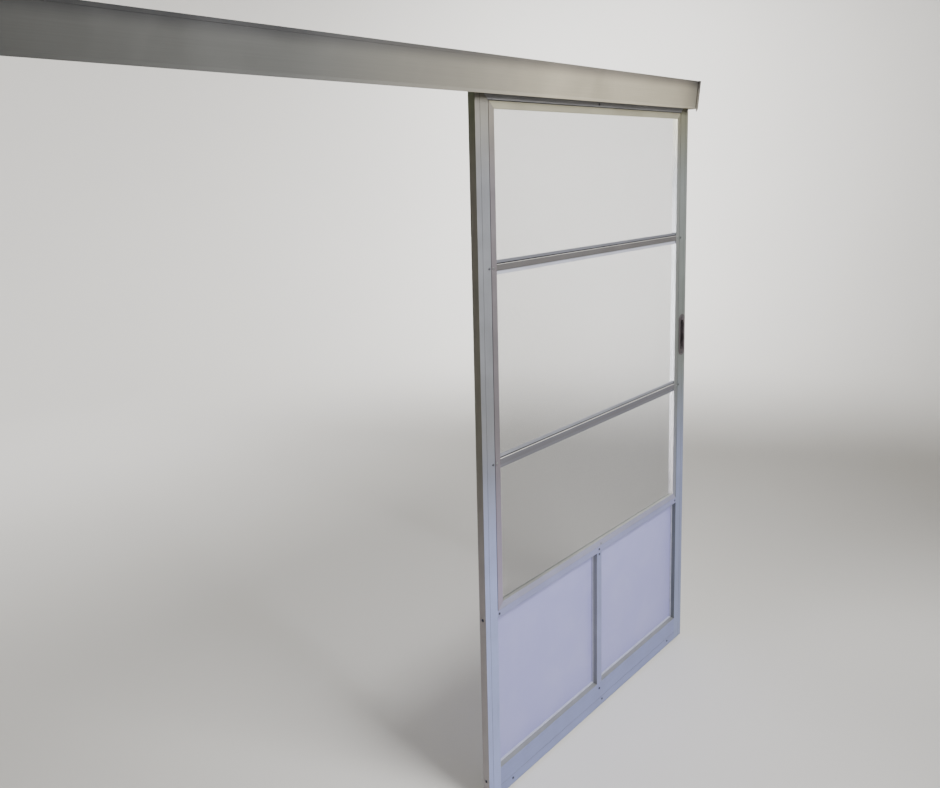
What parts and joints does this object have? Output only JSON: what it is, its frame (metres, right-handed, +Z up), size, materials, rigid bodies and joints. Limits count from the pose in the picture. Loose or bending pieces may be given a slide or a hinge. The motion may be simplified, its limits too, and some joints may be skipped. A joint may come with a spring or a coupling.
{
  "type": "sliding screen door",
  "caption": "Top-hung sliding screen door with a header track and fascia, insect-screened upper panes, solid kick panels, flush pull with a hook latch, keeper and floor guide.",
  "frame": {"origin": "on the wall, at the middle of the header's row of fixing holes, straight above the left edge of the closed door", "axes": "+X to the right along the wall as seen from the room, +Y into the wall, +Z up"},
  "size_m": [2.19, 0.0752, 2.1068],
  "materials": {
    "frame_aluminium": "satin",
    "insert_aluminium": "satin",
    "kick_sheet": "satin",
    "glazing_vinyl": "satin",
    "screen_cloth": "matte",
    "spline_rubber": "matte",
    "fascia_aluminium": "satin",
    "track_aluminium": "mill finish",
    "zinc_steel": "zinc plated",
    "nylon": "matte",
    "stop_rubber": "matte",
    "black_plastic": "matte",
    "pull_black": "satin",
    "keeper_steel": "satin",
    "screw_steel": "satin",
    "rivet_aluminium": "satin"
  },
  "bodies": {
    "header": {"header_angle": "track_aluminium", "header_track": "track_aluminium", "track_screws": "screw_steel", "fascia": "fascia_aluminium", "fascia_cap_left": "fascia_aluminium", "fascia_cap_right": "fascia_aluminium", "fascia_screws": "screw_steel", "stop_left": "stop_rubber", "stop_right": "stop_rubber", "stop_screws": "zinc_steel", "floor_guide": "zinc_steel", "guide_pads": "nylon", "keeper": "keeper_steel"},
    "door": {"stile_left": "frame_aluminium", "stile_right": "frame_aluminium", "top_rail": "frame_aluminium", "kick_rail": "frame_aluminium", "bottom_rail": "frame_aluminium", "kick_mullion": "frame_aluminium", "insert_left": "insert_aluminium", "insert_right": "insert_aluminium", "insert_top": "insert_aluminium", "insert_bottom": "insert_aluminium", "crossbar_lower": "insert_aluminium", "crossbar_upper": "insert_aluminium", "kick_panel_left": "kick_sheet", "kick_panel_right": "kick_sheet", "kick_bead_left": "glazing_vinyl", "kick_bead_right": "glazing_vinyl", "screen_lower": "screen_cloth", "screen_middle": "screen_cloth", "screen_upper": "screen_cloth", "splines": "spline_rubber", "trolley_left": "zinc_steel", "trolley_right": "zinc_steel", "hanger_plates": "zinc_steel", "hanger_bolts": "zinc_steel", "hanger_nuts": "zinc_steel", "axles": "zinc_steel", "latch_case": "zinc_steel", "corner_keys": "zinc_steel", "stile_plugs": "black_plastic", "insert_keys": "black_plastic", "flush_pull": "pull_black", "face_screws": "screw_steel", "frame_screws": "screw_steel", "plate_screws": "screw_steel", "pull_screws": "screw_steel", "insert_rivets": "rivet_aluminium"},
    "wheel_left_lead_front": {"wheel_left_lead_front": "nylon"},
    "wheel_left_lead_back": {"wheel_left_lead_back": "nylon"},
    "wheel_left_trail_front": {"wheel_left_trail_front": "nylon"},
    "wheel_left_trail_back": {"wheel_left_trail_back": "nylon"},
    "wheel_right_lead_front": {"wheel_right_lead_front": "nylon"},
    "wheel_right_lead_back": {"wheel_right_lead_back": "nylon"},
    "wheel_right_trail_front": {"wheel_right_trail_front": "nylon"},
    "wheel_right_trail_back": {"wheel_right_trail_back": "nylon"},
    "latch_lever": {"latch_lever": "pull_black"},
    "latch_hook": {"latch_hook": "zinc_steel"}
  },
  "joints": [
    {"name": "door_slide", "type": "slide", "parent": "header", "child": "door", "axis": [-1, 0, 0], "range_m": [0, 1]},
    {"name": "wheel_left_lead_front_spin", "type": "hinge", "parent": "door", "child": "wheel_left_lead_front", "pos_m": [0.1, -0.0435, -0.0082], "axis": [0, -1, 0], "continuous": true},
    {"name": "wheel_left_lead_back_spin", "type": "hinge", "parent": "door", "child": "wheel_left_lead_back", "pos_m": [0.1, -0.0215, -0.0082], "axis": [0, -1, 0], "continuous": true},
    {"name": "wheel_left_trail_front_spin", "type": "hinge", "parent": "door", "child": "wheel_left_trail_front", "pos_m": [0.14, -0.0435, -0.0082], "axis": [0, -1, 0], "continuous": true},
    {"name": "wheel_left_trail_back_spin", "type": "hinge", "parent": "door", "child": "wheel_left_trail_back", "pos_m": [0.14, -0.0215, -0.0082], "axis": [0, -1, 0], "continuous": true},
    {"name": "wheel_right_lead_front_spin", "type": "hinge", "parent": "door", "child": "wheel_right_lead_front", "pos_m": [0.93, -0.0435, -0.0082], "axis": [0, -1, 0], "continuous": true},
    {"name": "wheel_right_lead_back_spin", "type": "hinge", "parent": "door", "child": "wheel_right_lead_back", "pos_m": [0.93, -0.0215, -0.0082], "axis": [0, -1, 0], "continuous": true},
    {"name": "wheel_right_trail_front_spin", "type": "hinge", "parent": "door", "child": "wheel_right_trail_front", "pos_m": [0.97, -0.0435, -0.0082], "axis": [0, -1, 0], "continuous": true},
    {"name": "wheel_right_trail_back_spin", "type": "hinge", "parent": "door", "child": "wheel_right_trail_back", "pos_m": [0.97, -0.0215, -0.0082], "axis": [0, -1, 0], "continuous": true},
    {"name": "latch_lever_slide", "type": "slide", "parent": "door", "child": "latch_lever", "axis": [0, 0, 1], "range_m": [0, 0.012]},
    {"name": "latch_hook_swing", "type": "hinge", "parent": "door", "child": "latch_hook", "pos_m": [1.052, -0.0259, -0.92], "axis": [0, 1, 0], "range_deg": [0, 80]}
  ],
  "couplings": [
    {"joint": "wheel_left_lead_front_spin", "follows": "door_slide", "rad_per_m": 83.333},
    {"joint": "wheel_left_lead_back_spin", "follows": "door_slide", "rad_per_m": 83.333},
    {"joint": "wheel_left_trail_front_spin", "follows": "door_slide", "rad_per_m": 83.333},
    {"joint": "wheel_left_trail_back_spin", "follows": "door_slide", "rad_per_m": 83.333},
    {"joint": "wheel_right_lead_front_spin", "follows": "door_slide", "rad_per_m": 83.333},
    {"joint": "wheel_right_lead_back_spin", "follows": "door_slide", "rad_per_m": 83.333},
    {"joint": "wheel_right_trail_front_spin", "follows": "door_slide", "rad_per_m": 83.333},
    {"joint": "wheel_right_trail_back_spin", "follows": "door_slide", "rad_per_m": 83.333},
    {"joint": "latch_hook_swing", "follows": "latch_lever_slide", "rad_per_m": 116.36}
  ]
}
